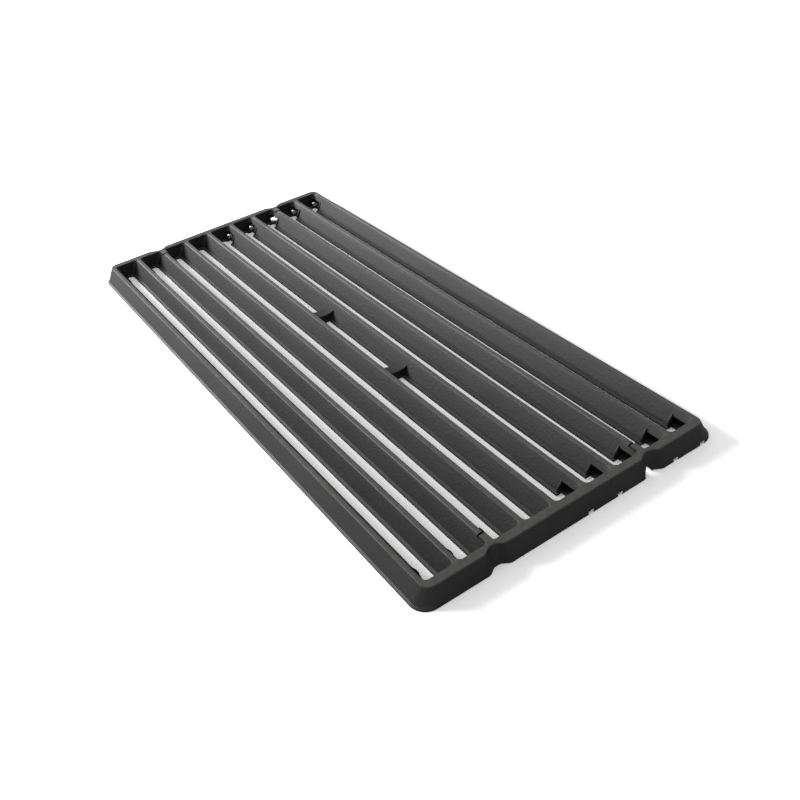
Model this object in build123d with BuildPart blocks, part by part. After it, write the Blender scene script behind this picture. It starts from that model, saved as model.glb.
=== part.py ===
"""One-piece cast-iron grill grate: ten ridged bars between two end rails.

Frame: X across the bars, Y along the bars, Z up. The origin is on the resting plane, at the middle of the grate.
Lengths are in millimetres.
"""
import os
from build123d import *

# Overall sizes
grate_length = 355.0
grate_height = 9.5
corner_radius_foot = 8.0
corner_radius_top = 4.5

# Bars: a narrow flat ridge, two sloping flanks and a thin lip at the foot of each flank
bar_count = 10
bar_pitch = 16.65
ridge_width = 2.3
flank_foot_width = 10.8
side_lip_width = 1.05
lip_edge_height = 0.9
lip_root_height = 1.4

# Slots between the bars, with rounded ends: at the foot they reach unequally far from the middle between two bars
slot_foot_left = 2.6
slot_foot_right = 1.55
slot_foot_radius = 1.9
slot_end_radius = 2.0

# End rails
rail_top_width = 4.6
rail_draft = 2.9
rail_lip = 1.2

# Notches in the outer face of each rail, opposite one bar on each side, counted from the side bar as 0
notch_bar_index = 2
notch_offset = 0.8
notch_mouth_width = 10.2
notch_floor_width = 3.2
notch_depth = 2.4
notch_radius = 3.0

# Ties that bridge the middle slot, at these places along the bars
tie_places = (33.4, -40.3)
tie_length = 6.6
tie_middle_height = 5.0
tie_side_height = 6.4
tie_root = 0.6

# Drain window at each bar end, in the flank that faces the middle of the grate
window_length = 10.0
window_floor_height = 1.2
window_top_height = 6.0
window_past_ridge = 1.0

# Gap in the lip below each window
lip_gap_inset = 6.4
lip_gap_length = 6.2
lip_gap_inner_x = 3.9

# Drains: a sump under the rail behind each window on the right half, and its small mouth in the rail's outer face
drain_wall_place = 3.9
drain_overlap = 1.7
neck_length = 3.0
sump_width = 5.6
sump_height = 3.2
mouth_width = 2.2
mouth_height = 1.0

# Pad that stiffens the ridge ends behind each notch, set off by a shallow break across the ridge
pad_width = 3.4
pad_length = 5.2
pad_depth = 2.5
break_length = 1.1
break_depth = 1.2

# Bevel of the ridge edges and rounding of the rim
ridge_bevel = 0.3
rim_radius = 0.8

# Derived sizes
slot_count = bar_count - 1
side_foot_width = flank_foot_width + 2 * side_lip_width
grate_width = slot_count * bar_pitch + side_foot_width
flank_width = slot_count * bar_pitch + flank_foot_width
top_width = slot_count * bar_pitch + ridge_width
top_length = grate_length - 2 * rail_draft
rail_inner_y = top_length / 2 - rail_top_width
slot_length = 2 * rail_inner_y
slot_foot_length = slot_length - 2 * rail_lip
slot_foot_width = slot_foot_left + slot_foot_right
slot_foot_x = (slot_foot_right - slot_foot_left) / 2
lip_reach = bar_pitch / 2 - slot_foot_right
flank_run = (flank_foot_width - ridge_width) / 2
flank_rise = grate_height - lip_root_height
window_start_y = rail_inner_y - window_length
lip_gap_y = rail_inner_y - lip_gap_inset
drain_start_y = rail_inner_y - drain_overlap
drain_neck_y = grate_length / 2 - neck_length
bar_places = [(index - slot_count / 2) * bar_pitch for index in range(bar_count)]
notch_x = -bar_places[notch_bar_index] + notch_offset


def flank_half_width(height):
    """Distance of a bar's flank from the bar's middle plane, at a height above the lip."""
    return flank_foot_width / 2 - flank_run * (height - lip_root_height) / flank_rise


def share_between(low, high, height):
    """Value at a height, on a straight line from the floor value to the value at the ridge tops."""
    return low + (high - low) * height / grate_height


def window_side(bar_x):
    """Direction along X in which a bar's drain windows open: towards the middle of the grate."""
    return 1 if bar_x < 0 else -1


# One slot: straight through the lips, then widening up to the ridges
with BuildPart() as slot:
    slot_outlines = {
        lip_edge_height: (slot_foot_x, slot_foot_width, slot_foot_length, slot_foot_radius),
        lip_root_height: (0.0, bar_pitch - flank_foot_width, slot_length, slot_end_radius),
        grate_height: (0.0, bar_pitch - ridge_width, slot_length, slot_end_radius),
    }
    for height, (middle_x, width, length, radius) in slot_outlines.items():
        with BuildSketch(Plane.XY.offset(height)):
            with Locations((middle_x, 0)):
                RectangleRounded(width, length, radius)
    loft(ruled=True)
    with BuildSketch(Plane.XY):
        with Locations((slot_foot_x, 0)):
            RectangleRounded(slot_foot_width, slot_foot_length, slot_foot_radius)
    extrude(amount=lip_edge_height)

# The two drains of one bar: a straight sump, then a neck down to the mouth
with BuildPart() as drains:
    with BuildSketch(Plane.XZ.offset(-drain_start_y)):
        with Locations((-drain_wall_place, 0)):
            Rectangle(sump_width, sump_height, align=(Align.MIN, Align.MIN))
    extrude(amount=drain_start_y - drain_neck_y)
    with BuildSketch(Plane.XZ.offset(-drain_neck_y)):
        with Locations((-drain_wall_place, 0)):
            Rectangle(sump_width, sump_height, align=(Align.MIN, Align.MIN))
    with BuildSketch(Plane.XZ.offset(-grate_length / 2)):
        with Locations((-drain_wall_place, 0)):
            Rectangle(mouth_width, mouth_height, align=(Align.MIN, Align.MIN))
    loft(ruled=True)
    mirror(about=Plane.XZ)

with BuildPart() as grill_grate:
    # Outer form: one outline with its notches, drawn at four heights and joined by straight walls
    outline_widths = {
        0.0: grate_width,
        lip_edge_height: grate_width,
        lip_root_height: flank_width,
        grate_height: top_width,
    }
    for height, width in outline_widths.items():
        length = share_between(grate_length, top_length, height)
        with BuildSketch(Plane.XY.offset(height)) as outline:
            Rectangle(width, length)
            fillet(outline.vertices(), share_between(corner_radius_foot, corner_radius_top, height))
            for end in (1, -1):
                with Locations((notch_x, end * length / 2), (-notch_x, end * length / 2)):
                    Polygon(
                        (-notch_mouth_width / 2, 0),
                        (-notch_floor_width / 2, -end * notch_depth),
                        (notch_floor_width / 2, -end * notch_depth),
                        (notch_mouth_width / 2, 0),
                        align=None,
                        mode=Mode.SUBTRACT,
                    )
            notch_corners = outline.vertices().filter_by(
                lambda corner: abs(abs(corner.X) - notch_x) < notch_mouth_width
            )
            fillet(notch_corners, notch_radius)
    loft(ruled=True)

    # Slots
    with GridLocations(bar_pitch, 1, slot_count, 1):
        add(slot.part, mode=Mode.SUBTRACT)

    # Upper edges: the rim is rounded, then the ridges are bevelled
    fillet(grill_grate.faces().sort_by(Axis.Z)[-1].outer_wire().edges(), rim_radius)
    for ridge_loop in grill_grate.faces().sort_by(Axis.Z)[-1].inner_wires():
        chamfer(ridge_loop.edges(), ridge_bevel)

    # Pads behind the notches, and the breaks before them
    notched_bars = (bar_places[notch_bar_index], -bar_places[notch_bar_index])
    pad_y = rail_inner_y - pad_length / 2
    break_y = rail_inner_y - pad_length - break_length / 2
    with BuildSketch(Plane.XY.offset(grate_height)):
        for bar_x in notched_bars:
            with Locations((bar_x, pad_y), (bar_x, -pad_y)):
                Rectangle(pad_width, pad_length)
    extrude(amount=-pad_depth)
    with BuildSketch(Plane.XY.offset(grate_height)):
        for bar_x in notched_bars:
            with Locations((bar_x, break_y), (bar_x, -break_y)):
                Rectangle(flank_foot_width, break_length)
    extrude(amount=-break_depth, mode=Mode.SUBTRACT)

    # Ties across the middle slot, each with a hollowed top
    middle_slot_x = (bar_places[slot_count // 2] + bar_places[slot_count // 2 + 1]) / 2
    tie_half_width = bar_pitch / 2 - flank_half_width(tie_side_height) + tie_root
    for tie_y in tie_places:
        with BuildSketch(Plane.XZ.offset(-tie_y - tie_length / 2)):
            with BuildLine():
                foot_left = (middle_slot_x - tie_half_width, 0)
                foot_right = (middle_slot_x + tie_half_width, 0)
                side_left = (middle_slot_x - tie_half_width, tie_side_height)
                side_right = (middle_slot_x + tie_half_width, tie_side_height)
                Polyline(side_left, foot_left, foot_right, side_right)
                ThreePointArc(side_right, (middle_slot_x, tie_middle_height), side_left)
            make_face()
        extrude(amount=tie_length)

    # Drain windows, from just past the ridge line out through one flank
    window_reach = window_past_ridge + lip_reach
    window_y = window_start_y + window_length / 2
    with BuildSketch(Plane.XY.offset(window_floor_height)):
        for bar_x in bar_places:
            window_x = bar_x + window_side(bar_x) * (window_reach / 2 - window_past_ridge)
            with Locations((window_x, window_y), (window_x, -window_y)):
                Rectangle(window_reach, window_length)
    extrude(amount=window_top_height - window_floor_height, mode=Mode.SUBTRACT)

    # Gaps in the lips below the windows, open to the slots
    lip_gap_width = lip_reach - lip_gap_inner_x
    with BuildSketch(Plane.XY):
        for bar_x in bar_places:
            lip_gap_x = bar_x + window_side(bar_x) * (lip_gap_inner_x + lip_gap_width / 2)
            with Locations((lip_gap_x, lip_gap_y), (lip_gap_x, -lip_gap_y)):
                Rectangle(lip_gap_width, lip_gap_length)
    extrude(amount=window_floor_height, mode=Mode.SUBTRACT)

    # Drains at the bars of the right half
    with Locations([(bar_x, 0) for bar_x in bar_places if bar_x > 0]):
        add(drains.part, mode=Mode.SUBTRACT)

grill_grate.part.label = "grill_grate"

os.makedirs("parts", exist_ok=True)
export_step(grill_grate.part, "parts/grill_grate.step")
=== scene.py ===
"""Looks of a one-piece cast-iron grill grate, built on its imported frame.

The casting keeps the sizes of the frame. Its faces dip slightly here and there, as sand leaves them, and a
small fin stands beside each drain window. X runs across the bars, Y along them, Z up. Lengths are in metres.
"""
import math

import bmesh
import bpy
from bpy.props import FloatProperty, FloatVectorProperty, IntProperty, PointerProperty
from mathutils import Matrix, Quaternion, Vector


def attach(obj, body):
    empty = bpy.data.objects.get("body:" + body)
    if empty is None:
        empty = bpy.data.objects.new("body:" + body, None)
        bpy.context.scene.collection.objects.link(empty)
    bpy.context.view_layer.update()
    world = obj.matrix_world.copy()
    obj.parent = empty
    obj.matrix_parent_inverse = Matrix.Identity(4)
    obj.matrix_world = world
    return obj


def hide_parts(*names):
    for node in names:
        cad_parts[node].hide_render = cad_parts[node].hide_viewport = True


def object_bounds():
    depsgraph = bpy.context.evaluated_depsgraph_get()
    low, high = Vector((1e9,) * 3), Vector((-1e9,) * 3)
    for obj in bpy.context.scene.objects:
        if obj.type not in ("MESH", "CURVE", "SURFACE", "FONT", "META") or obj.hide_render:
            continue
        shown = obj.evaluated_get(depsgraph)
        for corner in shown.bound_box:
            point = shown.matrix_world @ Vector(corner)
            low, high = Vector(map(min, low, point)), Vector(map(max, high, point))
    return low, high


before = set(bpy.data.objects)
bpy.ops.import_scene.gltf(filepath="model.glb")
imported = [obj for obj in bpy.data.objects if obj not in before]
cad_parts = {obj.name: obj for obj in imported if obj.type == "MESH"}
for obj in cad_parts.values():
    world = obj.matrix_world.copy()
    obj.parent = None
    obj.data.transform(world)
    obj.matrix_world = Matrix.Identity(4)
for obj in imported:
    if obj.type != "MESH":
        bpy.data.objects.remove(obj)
CAD_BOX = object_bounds()
BOX_LOW, BOX_HIGH = CAD_BOX

bl_info = {
    "name": "Cast-Iron Grill Grate",
    "version": (1, 0, 0),
    "blender": (4, 5, 0),
    "location": "View3D > Sidebar > Grill Grate",
    "description": "Builds a sand-cast grill grate and a plain studio to show it in",
    "category": "Object",
}

GRATE_NODE = "grill_grate"
GRATE_BODY = "root"
FRAME_ORIGIN = (0.0, 0.0, 0.0)
JOIN_DISTANCE = 1e-6
CAMERA_NEAR_LIMIT = 0.01

# A fin: points along it, sides around it, thickness of its ends, and its least and greatest size
FIN_POINTS = 9
FIN_SIDES = 10
FIN_END_SHARE = 0.45
FIN_SIZES = (0.88, 1.08)

# Fineness of the noises
NOISE_DETAIL = 4.0
NOISE_ROUGHNESS = 0.6
DIP_DETAIL = 3.0
DIP_ROUGHNESS = 0.55
PATCH_DETAIL = 5.0

# Levels of a noise between which its pattern fades in, and the least strength of the speckles
PATCH_LEVELS = (0.38, 0.72)
SPECKLE_LEVELS = (0.3, 0.7)
GRAIN_LEVELS = (0.3, 0.7)
LEAST_SPECKLE = 0.4


class GrateCastingSettings(bpy.types.PropertyGroup):
    """Sizes of the casting's skin and of the fins beside its drain windows."""

    bar_count: IntProperty(name="Bars", description="Number of bars", default=10, min=2)
    bar_pitch: FloatProperty(
        name="Bar Pitch", description="Distance from one bar to the next", default=0.01665, unit="LENGTH"
    )
    fin_inset: FloatProperty(
        name="Fin Inset",
        description="Distance of the fins from the ends of the grate",
        default=0.018,
        unit="LENGTH",
    )
    fin_radius: FloatProperty(
        name="Fin Radius", description="Half thickness of a fin", default=0.00062, unit="LENGTH"
    )
    fin_foot: FloatVectorProperty(
        name="Fin Foot",
        description="Lower end of a fin, from the middle of its bar",
        default=(0.0056, 0.0, 0.0013),
        subtype="XYZ_LENGTH",
    )
    fin_top: FloatVectorProperty(
        name="Fin Top",
        description="Upper end of a fin, from the middle of its bar",
        default=(0.0027, 0.0, 0.0067),
        subtype="XYZ_LENGTH",
    )
    fin_seed: IntProperty(name="Fin Seed", description="Seed of the fins' uneven heights", default=4)
    cut_step: FloatProperty(
        name="Cut Step", description="Distance between the cuts across the bars", default=0.006, unit="LENGTH"
    )
    smooth_angle: FloatProperty(
        name="Smooth Angle",
        description="Edges that bend less than this look rounded",
        default=math.radians(34.0),
        subtype="ANGLE",
    )
    dip_depth: FloatProperty(
        name="Dip Depth", description="How far the cast faces dip in places", default=0.0002, unit="LENGTH"
    )
    dip_size: FloatProperty(
        name="Dip Size",
        description="Distance between the dips of the cast faces",
        default=0.014,
        unit="LENGTH",
    )
    dip_seed: FloatProperty(name="Dip Seed", description="Seed of the uneven faces", default=2.5)


class GrateIronSettings(bpy.types.PropertyGroup):
    """Colours, painted highlights and grain of the black iron."""

    iron_colour: FloatVectorProperty(
        name="Iron",
        description="Colour of the matte black iron",
        default=(0.0105, 0.0105, 0.0108),
        subtype="COLOR",
        size=3,
    )
    dust_colour: FloatVectorProperty(
        name="Dry Patches",
        description="Colour of the drier, paler patches",
        default=(0.017, 0.017, 0.017),
        subtype="COLOR",
        size=3,
    )
    # Painted highlight: a paler colour on the ridge tops, rail tops and lips stands in for the light they
    # catch. It is stronger towards the far end, where the back light falls. The settings from here to the lip
    # strength place and weigh it.
    painted_highlight_colour: FloatVectorProperty(
        name="Highlights",
        description="Colour of the rubbed edges",
        default=(0.17, 0.165, 0.155),
        subtype="COLOR",
        size=3,
    )
    highlight_depth: FloatProperty(
        name="Highlight Depth",
        description="Depth of the rubbed part of the ridges, from their tops",
        default=0.0004,
        unit="LENGTH",
    )
    near_highlight: FloatProperty(
        name="Near Highlight",
        description="How rubbed the ridges are at the near end",
        default=0.4,
        subtype="FACTOR",
    )
    rail_highlight: FloatProperty(
        name="Rail Highlight", description="How rubbed the tops of the rails are", default=0.4, subtype="FACTOR"
    )
    rail_depth: FloatProperty(
        name="Rail Depth",
        description="Depth of the rails along the bars, from the ends of the grate",
        default=0.008,
        unit="LENGTH",
    )
    lip_height: FloatProperty(
        name="Lip Height", description="Height up to which the lips are rubbed", default=0.0014, unit="LENGTH"
    )
    lip_highlight: FloatProperty(
        name="Lip Highlight", description="How rubbed the lips are", default=0.15, subtype="FACTOR"
    )
    patch_size: FloatProperty(
        name="Patch Size", description="Size of the paler patches", default=0.03, unit="LENGTH"
    )
    # Speckles break up the painted highlight.
    speckle_size: FloatProperty(
        name="Speckle Size",
        description="Size of the speckles on the rubbed ridges",
        default=0.0024,
        unit="LENGTH",
    )
    grain_size: FloatProperty(
        name="Grain Size", description="Size of the sand grain in the skin", default=0.0012, unit="LENGTH"
    )
    grain_depth: FloatProperty(
        name="Grain Depth", description="Depth of the sand grain", default=0.0001, unit="LENGTH"
    )
    gloss_level: FloatProperty(
        name="Gloss",
        description="Strength of the dull gloss, 0.5 for common paint",
        default=0.38,
        subtype="FACTOR",
    )
    roughness_low: FloatProperty(
        name="Least Roughness", description="Roughness of the smoothest spots", default=0.48, subtype="FACTOR"
    )
    roughness_high: FloatProperty(
        name="Most Roughness", description="Roughness of the grainy spots", default=0.58, subtype="FACTOR"
    )


class GrateStudioSettings(bpy.types.PropertyGroup):
    """Camera, floor and lamps."""

    camera_place: FloatVectorProperty(
        name="Camera",
        description="Place of the camera",
        default=(-0.1913, -0.3774, 0.2753),
        subtype="XYZ_LENGTH",
    )
    camera_target: FloatVectorProperty(
        name="Target",
        description="Point on the floor at the middle of the picture",
        default=(-0.0101, -0.0586, 0.0),
        subtype="XYZ_LENGTH",
    )
    camera_roll: FloatProperty(
        name="Roll",
        description="Turn of the camera about its line of sight",
        default=math.radians(-7.74),
        subtype="ANGLE",
    )
    camera_lens: FloatProperty(
        name="Lens",
        description="Focal length on a 36 mm wide frame, in millimetres",
        default=41.42,
        unit="CAMERA",
    )
    floor_size: FloatProperty(
        name="Floor Size", description="Width of the floor", default=12.0, unit="LENGTH"
    )
    floor_colour: FloatVectorProperty(
        name="Floor",
        description="Colour of the pale floor",
        default=(0.86, 0.86, 0.85),
        subtype="COLOR",
        size=3,
    )
    floor_white: FloatProperty(
        name="Floor White", description="Whiteness of the floor as the camera sees it", default=2.0
    )
    floor_gloss: FloatProperty(
        name="Floor in Gloss", description="Colour of the floor as gloss and glass show it", default=0.5
    )
    sky_top: FloatProperty(
        name="Top Sky", description="Strength of the sky's light from overhead", default=0.48
    )
    sky_rim: FloatProperty(
        name="Rim Sky", description="Strength of the sky's light at the horizon", default=0.29
    )
    panel_place: FloatVectorProperty(
        name="Panel Place",
        description="Middle of the soft light panel behind the grate",
        default=(-0.64, 0.94, 0.55),
        subtype="XYZ_LENGTH",
    )
    panel_roll: FloatProperty(
        name="Panel Roll",
        description="Turn of the panel about its line to the grate",
        default=math.radians(20.0),
        subtype="ANGLE",
    )
    panel_width: FloatProperty(
        name="Panel Width", description="Width of the soft light panel", default=0.8, unit="LENGTH"
    )
    panel_height: FloatProperty(
        name="Panel Height", description="Height of the soft light panel", default=0.2, unit="LENGTH"
    )
    panel_power: FloatProperty(
        name="Panel Power", description="Power of the soft light panel", default=22.0, subtype="POWER"
    )


def add_object(scene, name, data):
    """Add an object to the scene."""
    thing = bpy.data.objects.new(name, data)
    scene.collection.objects.link(thing)
    return thing


def add_node(tree, kind, inputs=None, **settings):
    """Add a node, set its own settings, then fill or link its inputs by name or number."""
    node = tree.nodes.new(kind)
    for key, value in settings.items():
        setattr(node, key, value)
    for key, value in (inputs or {}).items():
        socket = node.inputs[key]
        if isinstance(value, bpy.types.NodeSocket):
            tree.links.new(value, socket)
        else:
            socket.default_value = value
    return node


def calculate(tree, operation, first, second=0.0):
    """Value of one math step."""
    return add_node(tree, "ShaderNodeMath", {0: first, 1: second}, operation=operation).outputs[0]


def calculate_vector(tree, operation, first, second):
    """Vector of one vector math step."""
    return add_node(tree, "ShaderNodeVectorMath", {0: first, 1: second}, operation=operation).outputs[0]


def remap(tree, value, low, high, to_low=0.0, to_high=1.0):
    """Value stretched from one range to another and held inside it."""
    settings = {"Value": value, "From Min": low, "From Max": high, "To Min": to_low, "To Max": to_high}
    return add_node(tree, "ShaderNodeMapRange", settings).outputs[0]


def mix_values(tree, share, first, second):
    """Value between two values, by a share from 0 to 1."""
    mixed = add_node(tree, "ShaderNodeMix", {0: share, 2: first, 3: second}, data_type="FLOAT")
    return mixed.outputs[0]


def mix_colours(tree, share, first, second):
    """Colour between two colours, by a share from 0 to 1."""
    mixed = add_node(tree, "ShaderNodeMix", {0: share, 6: first, 7: second}, data_type="RGBA")
    return mixed.outputs[2]


def noise(tree, place, size, detail=NOISE_DETAIL):
    """Cloudy noise whose lumps have about the given size."""
    settings = {"Vector": place, "Scale": 1.0 / size, "Detail": detail, "Roughness": NOISE_ROUGHNESS}
    return add_node(tree, "ShaderNodeTexNoise", settings).outputs[0]


def new_geometry_tree(name, inputs):
    """Start a geometry tree with a mesh in and out, and the named inputs with their socket types."""
    tree = bpy.data.node_groups.new(name, "GeometryNodeTree")
    tree.interface.new_socket("Geometry", in_out="INPUT", socket_type="NodeSocketGeometry")
    tree.interface.new_socket("Geometry", in_out="OUTPUT", socket_type="NodeSocketGeometry")
    for label, socket_type in inputs.items():
        tree.interface.new_socket(label, in_out="INPUT", socket_type=socket_type)
    return tree, add_node(tree, "NodeGroupInput").outputs


def end_geometry_tree(tree, geometry, material):
    """Close a geometry tree: make its instances real and give the whole one material."""
    real = add_node(tree, "GeometryNodeRealizeInstances", {0: geometry}).outputs[0]
    finished = add_node(tree, "GeometryNodeSetMaterial", {"Geometry": real, "Material": material})
    add_node(tree, "NodeGroupOutput", {"Geometry": finished.outputs[0]})


def use_geometry_tree(piece, tree, values):
    """Give a piece a geometry tree, with the value of each named input."""
    modifier = piece.modifiers.new(tree.name, "NODES")
    modifier.node_group = tree
    identifiers = {
        item.name: item.identifier
        for item in tree.interface.items_tree
        if item.item_type == "SOCKET" and item.in_out == "INPUT"
    }
    for label, value in values.items():
        modifier[identifiers[label]] = value


def bake_modifiers(piece):
    """Turn a piece and its modifiers into a plain mesh."""
    graph = bpy.context.evaluated_depsgraph_get()
    baked = bpy.data.meshes.new_from_object(piece.evaluated_get(graph))
    piece.modifiers.clear()
    piece.data = baked


def cut_across(shell, step):
    """Cut a shell across the bars at even steps, so that its long faces can dip."""
    for index in range(1, math.ceil((BOX_HIGH[1] - BOX_LOW[1]) / step)):
        bmesh.ops.bisect_plane(
            shell,
            geom=[*shell.verts, *shell.edges, *shell.faces],
            dist=JOIN_DISTANCE,
            plane_co=(0.0, BOX_LOW[1] + index * step, 0.0),
            plane_no=(0.0, 1.0, 0.0),
        )


def cast_shell(settings):
    """Copy of the frame's mesh, joined, cut across the bars, and with its sharp edges marked."""
    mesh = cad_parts[GRATE_NODE].data.copy()
    shell = bmesh.new()
    shell.from_mesh(mesh)
    bmesh.ops.remove_doubles(shell, verts=shell.verts, dist=JOIN_DISTANCE)
    cut_across(shell, settings.cut_step)
    for edge in shell.edges:
        edge.smooth = edge.calc_face_angle(0.0) < settings.smooth_angle
    shell.to_mesh(mesh)
    shell.free()
    return mesh


def turn_outward(mesh):
    """Point every face outward, because mirrored fins come inside out."""
    shell = bmesh.new()
    shell.from_mesh(mesh)
    bmesh.ops.recalc_face_normals(shell, faces=shell.faces)
    shell.to_mesh(mesh)
    shell.free()


def window_fin_tree():
    """Tree that adds an uneven fin beside each drain window, on the flank towards the middle of the grate."""
    tree, given = new_geometry_tree(
        "Window Fins",
        {
            "Bars": "NodeSocketInt",
            "Bar Pitch": "NodeSocketFloat",
            "Fin Place": "NodeSocketFloat",
            "Fin Radius": "NodeSocketFloat",
            "Fin Foot": "NodeSocketVector",
            "Fin Top": "NodeSocketVector",
            "Seed": "NodeSocketInt",
            "Material": "NodeSocketMaterial",
        },
    )
    # One row of points at each end of the bars
    steps = calculate(tree, "SUBTRACT", given["Bars"], 1.0)
    row_length = calculate(tree, "MULTIPLY", steps, given["Bar Pitch"])
    row_start = calculate(tree, "MULTIPLY", row_length, -0.5)
    step = add_node(tree, "ShaderNodeCombineXYZ", {"X": given["Bar Pitch"]}).outputs[0]
    points = add_node(tree, "GeometryNodeJoinGeometry")
    for end in (1.0, -1.0):
        row_place = calculate(tree, "MULTIPLY", given["Fin Place"], end)
        start = add_node(tree, "ShaderNodeCombineXYZ", {"X": row_start, "Y": row_place}).outputs[0]
        row = add_node(
            tree, "GeometryNodeMeshLine", {"Count": given["Bars"], "Start Location": start, "Offset": step}
        )
        tree.links.new(row.outputs[0], points.inputs[0])

    # One fin: a bead along the flank, thickest in its middle
    line = add_node(
        tree, "GeometryNodeCurvePrimitiveLine", {"Start": given["Fin Foot"], "End": given["Fin Top"]}
    ).outputs[0]
    bead_line = add_node(tree, "GeometryNodeResampleCurve", {"Curve": line, "Count": FIN_POINTS}).outputs[0]
    along = add_node(tree, "GeometryNodeSplineParameter").outputs["Factor"]
    swell = calculate(tree, "SINE", calculate(tree, "MULTIPLY", along, math.pi))
    thickness = remap(tree, swell, 0.0, 1.0, FIN_END_SHARE, 1.0)
    ring = add_node(
        tree, "GeometryNodeCurvePrimitiveCircle", {"Resolution": FIN_SIDES, "Radius": given["Fin Radius"]}
    ).outputs[0]
    bead = add_node(
        tree,
        "GeometryNodeCurveToMesh",
        {"Curve": bead_line, "Profile Curve": ring, "Scale": thickness, "Fill Caps": True},
    ).outputs[0]

    # Bars left of the middle carry theirs on the right, and the other way round
    place = add_node(tree, "GeometryNodeInputPosition").outputs[0]
    across = add_node(tree, "ShaderNodeSeparateXYZ", {0: place}).outputs["X"]
    side = calculate(tree, "MULTIPLY", calculate(tree, "SIGN", across), -1.0)
    least, greatest = FIN_SIZES
    uneven = add_node(
        tree, "FunctionNodeRandomValue", {2: least, 3: greatest, "Seed": given["Seed"]}, data_type="FLOAT"
    ).outputs[1]
    scale = add_node(tree, "ShaderNodeCombineXYZ", {"X": side, "Y": uneven, "Z": uneven}).outputs[0]
    fins = add_node(
        tree, "GeometryNodeInstanceOnPoints", {"Points": points.outputs[0], "Instance": bead, "Scale": scale}
    ).outputs[0]
    whole = add_node(tree, "GeometryNodeJoinGeometry")
    tree.links.new(given["Geometry"], whole.inputs[0])
    tree.links.new(fins, whole.inputs[0])
    end_geometry_tree(tree, whole.outputs[0], given["Material"])
    return tree


def cast_skin_tree():
    """Tree that makes a casting's faces slightly uneven, inside the casting's own box."""
    tree, given = new_geometry_tree(
        "Cast Skin",
        {
            "Dip Depth": "NodeSocketFloat",
            "Dip Size": "NodeSocketFloat",
            "Seed": "NodeSocketFloat",
            "Box Low": "NodeSocketVector",
            "Box High": "NodeSocketVector",
            "Material": "NodeSocketMaterial",
        },
    )
    # Slow dips along the faces
    dip_scale = calculate(tree, "DIVIDE", 1.0, given["Dip Size"])
    dip = add_node(
        tree,
        "ShaderNodeTexNoise",
        {"W": given["Seed"], "Scale": dip_scale, "Detail": DIP_DETAIL, "Roughness": DIP_ROUGHNESS},
        noise_dimensions="4D",
    ).outputs[0]
    inward = calculate(tree, "MULTIPLY", calculate(tree, "MULTIPLY", dip, given["Dip Depth"]), -1.0)
    normal = add_node(tree, "GeometryNodeInputNormal").outputs[0]
    offset = calculate_vector(tree, "MULTIPLY", normal, inward)
    uneven = add_node(
        tree, "GeometryNodeSetPosition", {"Geometry": given["Geometry"], "Offset": offset}
    ).outputs[0]

    # Nothing reaches past the box
    place = add_node(tree, "GeometryNodeInputPosition").outputs[0]
    raised = calculate_vector(tree, "MAXIMUM", place, given["Box Low"])
    held = calculate_vector(tree, "MINIMUM", raised, given["Box High"])
    inside = add_node(tree, "GeometryNodeSetPosition", {"Geometry": uneven, "Position": held}).outputs[0]
    smooth = add_node(tree, "GeometryNodeSetShadeSmooth", {"Geometry": inside, "Shade Smooth": True})
    end_geometry_tree(tree, smooth.outputs[0], given["Material"])
    return tree


def black_iron(iron):
    """Matte black sand-cast iron: paler dry patches, painted highlights on the ridge tops, rail tops and
    lips, and a fine grain.
    """
    material = bpy.data.materials.new("black_cast_iron")
    material.use_nodes = True
    tree = material.node_tree
    shader = tree.nodes["Principled BSDF"]
    place = add_node(tree, "ShaderNodeTexCoord").outputs["Object"]
    axes = add_node(tree, "ShaderNodeSeparateXYZ", {0: place}).outputs

    # Paler patches over the black
    patches = remap(tree, noise(tree, place, iron.patch_size, PATCH_DETAIL), *PATCH_LEVELS)
    skin = mix_colours(tree, patches, (*iron.iron_colour, 1.0), (*iron.dust_colour, 1.0))

    # Painted highlights on the ridge tops, stronger towards the far end where the back light falls, and on
    # the rail tops, even all along
    rail_start = BOX_HIGH[1] - iron.rail_depth
    between_rails = calculate(tree, "LESS_THAN", calculate(tree, "ABSOLUTE", axes["Y"]), rail_start)
    ridge_highlight = remap(tree, axes["Y"], BOX_LOW[1], BOX_HIGH[1], iron.near_highlight, 1.0)
    top_highlight = mix_values(tree, between_rails, iron.rail_highlight, ridge_highlight)
    top_share = remap(tree, axes["Z"], BOX_HIGH[2] - iron.highlight_depth, BOX_HIGH[2])
    highlighted_top = calculate(tree, "MULTIPLY", top_share, top_highlight)

    # Painted highlight on the lips between the rails
    low_share = calculate(tree, "LESS_THAN", axes["Z"], iron.lip_height)
    lip_share = calculate(tree, "MULTIPLY", low_share, between_rails)
    highlighted_lip = calculate(tree, "MULTIPLY", lip_share, iron.lip_highlight)

    # Both painted highlights are speckled
    speckle = remap(tree, noise(tree, place, iron.speckle_size), *SPECKLE_LEVELS, LEAST_SPECKLE, 1.0)
    highlighted = calculate(tree, "MULTIPLY", calculate(tree, "MAXIMUM", highlighted_top, highlighted_lip), speckle)
    colour = mix_colours(tree, highlighted, skin, (*iron.painted_highlight_colour, 1.0))
    tree.links.new(colour, shader.inputs["Base Color"])

    # Sand grain in the surface and in its sheen
    grain = noise(tree, place, iron.grain_size)
    bump = add_node(tree, "ShaderNodeBump", {"Distance": iron.grain_depth, "Height": grain})
    tree.links.new(bump.outputs["Normal"], shader.inputs["Normal"])
    roughness = remap(tree, grain, *GRAIN_LEVELS, iron.roughness_low, iron.roughness_high)
    tree.links.new(roughness, shader.inputs["Roughness"])
    shader.inputs["Specular IOR Level"].default_value = iron.gloss_level
    return material


def ray_shares(tree):
    """Two shares, 1 or 0: for rays straight from the camera, and for rays that gloss or glass sends on."""
    ray = add_node(tree, "ShaderNodeLightPath").outputs
    return ray["Is Camera Ray"], calculate(tree, "MAXIMUM", ray["Is Glossy Ray"], ray["Is Transmission Ray"])


def grey(level):
    """Colour socket value of one grey level."""
    return (level, level, level, 1.0)


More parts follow.
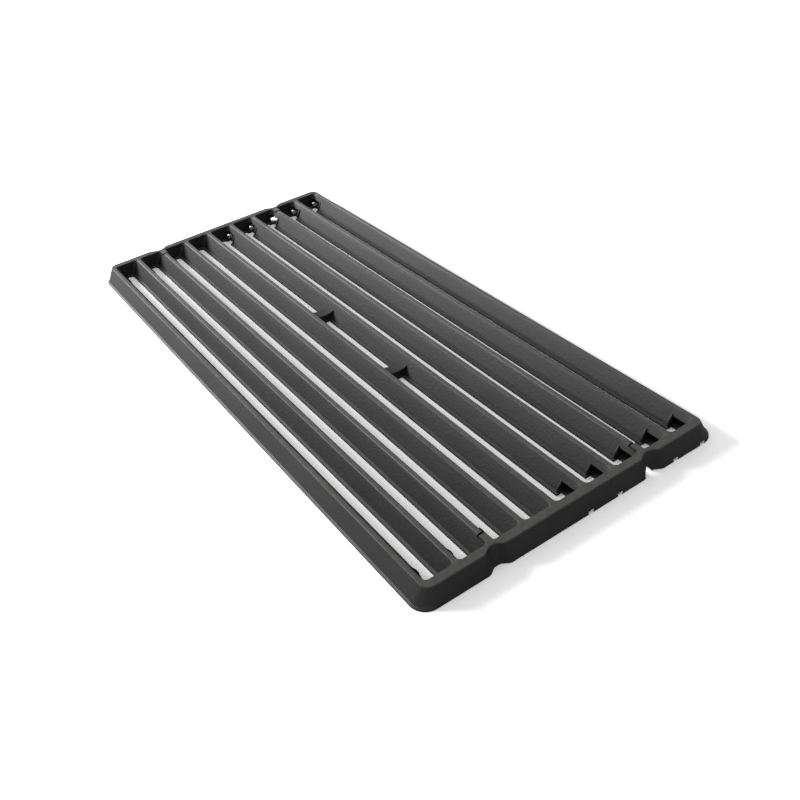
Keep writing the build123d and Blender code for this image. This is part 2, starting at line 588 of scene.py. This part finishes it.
def pale_floor(studio):
    """Pale matte floor that looks white to the camera and keeps the shadow."""
    material = bpy.data.materials.new("pale_floor")
    material.use_nodes = True
    tree = material.node_tree
    tree.nodes.clear()
    straight, mirrored = ray_shares(tree)
    shown = mix_colours(tree, mirrored, (*studio.floor_colour, 1.0), grey(studio.floor_gloss))
    colour = mix_colours(tree, straight, shown, grey(studio.floor_white))
    matte = add_node(tree, "ShaderNodeBsdfDiffuse", {"Color": colour})
    add_node(tree, "ShaderNodeOutputMaterial", {"Surface": matte.outputs[0]})
    return material


def studio_sky(studio):
    """Sky that gives more light from overhead than from the horizon, and looks white all over."""
    world = bpy.data.worlds.new("studio_sky")
    world.use_nodes = True
    tree = world.node_tree
    tree.nodes.clear()
    direction = add_node(tree, "ShaderNodeTexCoord").outputs["Generated"]
    upward = add_node(tree, "ShaderNodeSeparateXYZ", {0: direction}).outputs["Z"]
    light = remap(tree, upward, 0.0, 1.0, studio.sky_rim, studio.sky_top)
    seen = calculate(tree, "MAXIMUM", *ray_shares(tree))
    strength = mix_values(tree, seen, light, 1.0)
    sky = add_node(tree, "ShaderNodeBackground", {"Color": grey(1.0), "Strength": strength})
    add_node(tree, "ShaderNodeOutputWorld", {"Surface": sky.outputs[0]})
    return world


def aim(thing, place, target, roll):
    """Put a lamp or a camera at its place, facing a target and turned about that line."""
    sight = Vector(target) - Vector(place)
    thing.location = place
    thing.rotation_mode = "QUATERNION"
    thing.rotation_quaternion = sight.to_track_quat("-Z", "Y") @ Quaternion((0, 0, 1), roll)


def lay_floor(scene, studio):
    """Lay the pale floor under the grate."""
    half = studio.floor_size / 2
    corners = [(-half, -half, 0), (half, -half, 0), (half, half, 0), (-half, half, 0)]
    mesh = bpy.data.meshes.new("floor")
    mesh.from_pydata(corners, [], [(0, 1, 2, 3)])
    mesh.materials.append(pale_floor(studio))
    floor = add_object(scene, "floor", mesh)


def hang_panel(scene, studio):
    """Hang the soft light panel behind the grate."""
    lamp = bpy.data.lights.new("light_panel", "AREA")
    lamp.shape = "RECTANGLE"
    lamp.size = studio.panel_width
    lamp.size_y = studio.panel_height
    lamp.energy = studio.panel_power
    panel = add_object(scene, "light_panel", lamp)
    aim(panel, studio.panel_place, FRAME_ORIGIN, studio.panel_roll)


def place_camera(scene, studio):
    """Place the camera and make it the scene's own."""
    lens = bpy.data.cameras.new("camera")
    lens.lens = studio.camera_lens
    lens.clip_start = CAMERA_NEAR_LIMIT
    camera = add_object(scene, "camera", lens)
    aim(camera, studio.camera_place, studio.camera_target, studio.camera_roll)
    scene.camera = camera


class GRATE_OT_casting(bpy.types.Operator):
    """Build the casting from the frame: fins, uneven faces, softly shaded edges, black iron"""

    bl_idname = "grate.casting"
    bl_label = "Cast Grate"

    def execute(self, context):
        settings = context.scene.grate_casting
        iron = black_iron(context.scene.grate_iron)
        casting = add_object(context.scene, "grate_casting", cast_shell(settings))
        use_geometry_tree(
            casting,
            window_fin_tree(),
            {
                "Bars": settings.bar_count,
                "Bar Pitch": settings.bar_pitch,
                "Fin Place": BOX_HIGH[1] - settings.fin_inset,
                "Fin Radius": settings.fin_radius,
                "Fin Foot": settings.fin_foot,
                "Fin Top": settings.fin_top,
                "Seed": settings.fin_seed,
                "Material": iron,
            },
        )
        use_geometry_tree(
            casting,
            cast_skin_tree(),
            {
                "Dip Depth": settings.dip_depth,
                "Dip Size": settings.dip_size,
                "Seed": settings.dip_seed,
                "Box Low": BOX_LOW,
                "Box High": BOX_HIGH,
                "Material": iron,
            },
        )
        bake_modifiers(casting)
        turn_outward(casting.data)

        # Broad faces keep their flat look, and the narrow ones between them look rounded
        rounding = casting.modifiers.new("Rounding", "WEIGHTED_NORMAL")
        rounding.keep_sharp = True
        bake_modifiers(casting)

        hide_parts(GRATE_NODE)
        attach(casting, GRATE_BODY)
        return {"FINISHED"}


class GRATE_OT_stage(bpy.types.Operator):
    """Build the pale floor, the light panel, the white surroundings and the camera"""

    bl_idname = "grate.stage"
    bl_label = "Set Stage"

    def execute(self, context):
        scene = context.scene
        studio = scene.grate_studio
        scene.view_settings.view_transform = "Standard"
        scene.world = studio_sky(studio)
        lay_floor(scene, studio)
        hang_panel(scene, studio)
        place_camera(scene, studio)
        return {"FINISHED"}


class GRATE_PT_builder(bpy.types.Panel):
    """Sidebar list of the steps that build the grate"""

    bl_idname = "GRATE_PT_builder"
    bl_label = "Grill Grate"
    bl_space_type = "VIEW_3D"
    bl_region_type = "UI"
    bl_category = "Grill Grate"

    def draw(self, context):
        for step in STEPS:
            self.layout.operator(step.bl_idname)


STEPS = (GRATE_OT_casting, GRATE_OT_stage)
SETTINGS = {
    "grate_casting": GrateCastingSettings,
    "grate_iron": GrateIronSettings,
    "grate_studio": GrateStudioSettings,
}


def register():
    """Register the settings, the steps and the panel."""
    for name, group in SETTINGS.items():
        bpy.utils.register_class(group)
        setattr(bpy.types.Scene, name, PointerProperty(type=group))
    for step in STEPS:
        bpy.utils.register_class(step)
    bpy.utils.register_class(GRATE_PT_builder)


def unregister():
    """Take back what register added."""
    bpy.utils.unregister_class(GRATE_PT_builder)
    for step in reversed(STEPS):
        bpy.utils.unregister_class(step)
    for name, group in SETTINGS.items():
        delattr(bpy.types.Scene, name)
        bpy.utils.unregister_class(group)


def main():
    """Build the grate and its stage."""
    register()
    bpy.ops.grate.casting()
    bpy.ops.grate.stage()


if __name__ == "__main__":
    main()
